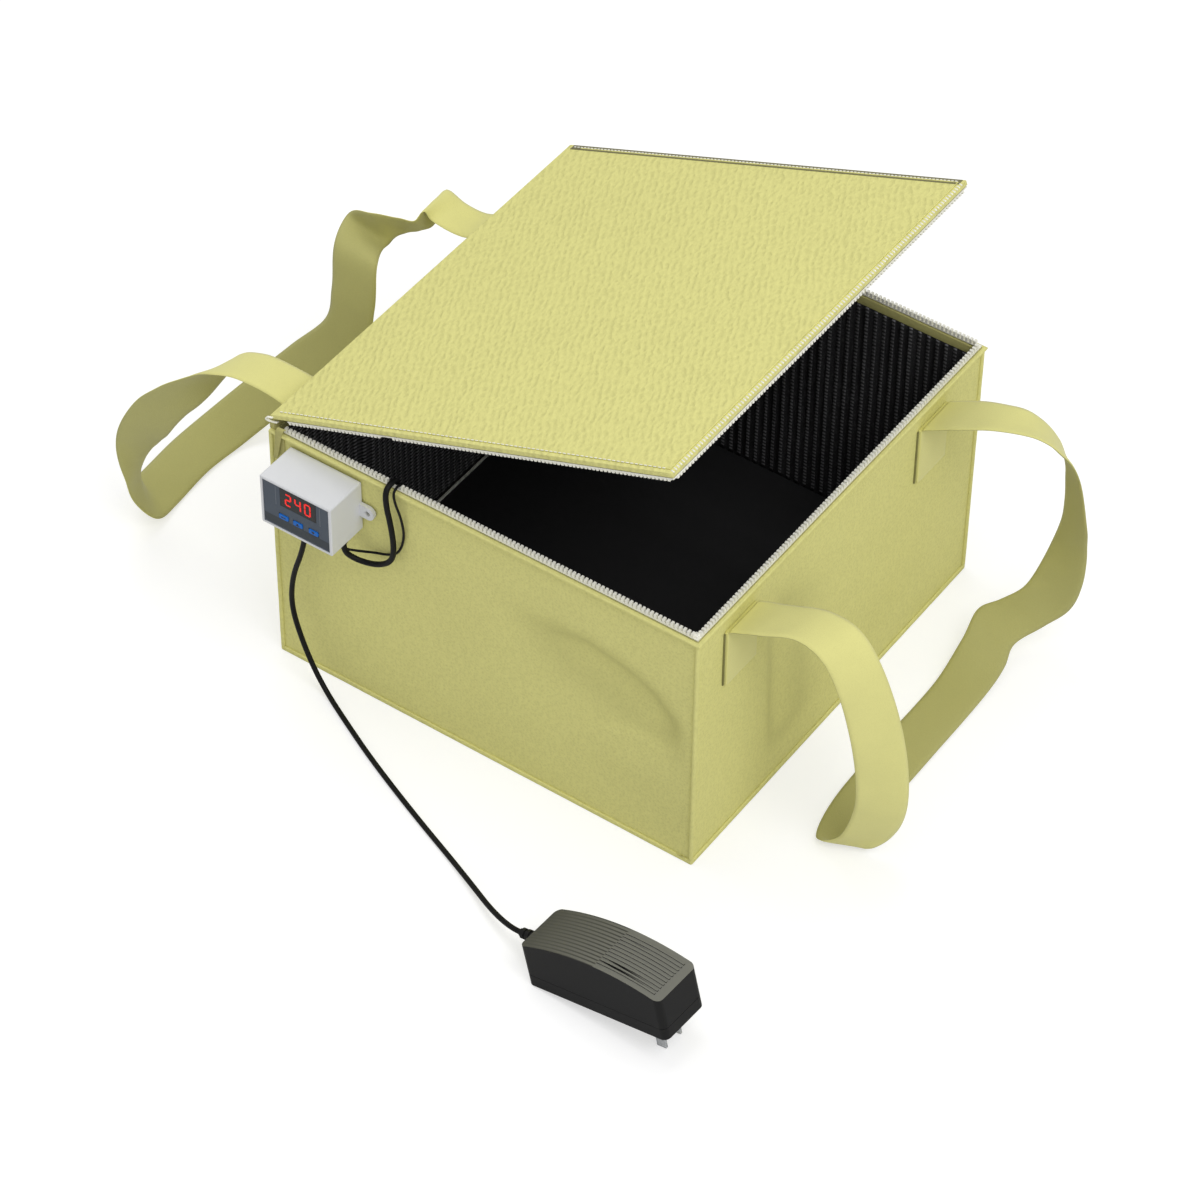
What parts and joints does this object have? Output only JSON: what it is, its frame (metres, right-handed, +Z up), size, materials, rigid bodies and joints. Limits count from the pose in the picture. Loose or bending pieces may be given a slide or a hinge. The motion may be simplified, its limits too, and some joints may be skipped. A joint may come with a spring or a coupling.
{
  "type": "folding heated dough proofer",
  "caption": "Square soft-sided insulated box with a zipped lid, strap handles, heated floor pad, clip-on temperature controller and plug adapter on a cord.",
  "frame": {"origin": "centre of the bag's base, on the surface it stands on", "axes": "+Z up, -Y towards the front wall with the controller, -X towards the lid's hinge"},
  "size_m": [0.5481, 0.4241, 0.2928],
  "materials": {
    "bag_fabric": "matt embossed non-woven fabric",
    "lid_fabric": "matt embossed non-woven fabric",
    "seam_fabric": "matt piping",
    "binding_fabric": "matt binding tape",
    "webbing": "matt webbing",
    "zip_tape": "woven tape",
    "zip_teeth": "satin moulded teeth",
    "zip_metal": "satin enamel",
    "foam": "closed-cell foam",
    "lining": "matt ribbed lining",
    "pad": "matt coated sheet",
    "element": "carbon film",
    "case": "satin",
    "face": "satin film",
    "window": "gloss",
    "digits": "lit",
    "buttons": "satin",
    "electronics": "matt",
    "black_plastic": "matt moulded",
    "cord": "matt",
    "steel": "brushed",
    "blades": "clear sleeve over metal"
  },
  "bodies": {
    "bag": {"front_panel": "bag_fabric", "back_panel": "bag_fabric", "left_panel": "bag_fabric", "right_panel": "bag_fabric", "base_panel": "bag_fabric", "wall_foam": "foam", "base_foam": "foam", "wall_lining": "lining", "base_lining": "lining", "pad_sheet": "pad", "pad_cover": "pad", "heating_element": "element", "pad_boot": "black_plastic", "corner_seams": "seam_fabric", "base_seam": "seam_fabric", "rim_binding": "binding_fabric", "rim_piping": "seam_fabric", "hinge_strip": "binding_fabric", "corner_tabs": "binding_fabric", "box_zip_tape": "zip_tape", "box_zip_teeth": "zip_teeth", "zip_slider": "zip_metal", "right_strap_ends": "webbing", "left_strap_ends": "webbing", "adhesive_pad": "black_plastic", "controller_case": "case", "controller_bezel": "case", "face_plate": "face", "display_window": "window", "display_digits": "digits", "display_block": "black_plastic", "circuit_board": "electronics", "relay": "electronics", "terminal_block": "electronics", "cord_bush": "black_plastic", "heater_bush": "black_plastic", "sensor_bush": "black_plastic", "power_cord": "cord", "heater_lead": "cord", "sensor_lead": "cord", "sensor_probe": "steel", "adapter_lower": "black_plastic", "adapter_upper": "black_plastic", "adapter_core": "black_plastic", "plug_plate": "black_plastic", "plug_blades": "blades", "strain_relief": "black_plastic"},
    "lid": {"lid_panel": "lid_fabric", "lid_foam": "foam", "lid_lining": "lining", "lid_cord": "seam_fabric", "lid_zip_tape": "zip_tape", "lid_zip_teeth": "zip_teeth"},
    "right_strap": {"right_handle": "webbing"},
    "left_strap": {"left_handle": "webbing"},
    "set_key": {"button_set": "buttons"},
    "up_key": {"button_up": "buttons"},
    "down_key": {"button_down": "buttons"},
    "pull_tab": {"zip_pull": "zip_metal"}
  },
  "joints": [
    {"name": "lid_hinge", "type": "hinge", "parent": "bag", "child": "lid", "pos_m": [-0.1436, 0, 0.1871], "axis": [0, -1, 0], "range_deg": [-21.2, 80]},
    {"name": "right_strap_swing", "type": "hinge", "parent": "bag", "child": "right_strap", "pos_m": [0.1478, 0, 0.166], "axis": [0, -1, 0], "range_deg": [0, 55]},
    {"name": "left_strap_swing", "type": "hinge", "parent": "bag", "child": "left_strap", "pos_m": [-0.1478, 0, 0.166], "axis": [0, 1, 0], "range_deg": [0, 55]},
    {"name": "set_press", "type": "slide", "parent": "bag", "child": "set_key", "axis": [0, 1, 0], "range_m": [0, 0.0008], "stiffness_N_per_m": 900, "springref_m": -0.0002},
    {"name": "up_press", "type": "slide", "parent": "bag", "child": "up_key", "axis": [0, 1, 0], "range_m": [0, 0.0008], "stiffness_N_per_m": 900, "springref_m": -0.0002},
    {"name": "down_press", "type": "slide", "parent": "bag", "child": "down_key", "axis": [0, 1, 0], "range_m": [0, 0.0008], "stiffness_N_per_m": 900, "springref_m": -0.0002},
    {"name": "pull_swing", "type": "hinge", "parent": "bag", "child": "pull_tab", "pos_m": [-0.1405, 0.1483, 0.1819], "axis": [1, 0, 0], "range_deg": [0, 150]}
  ]
}
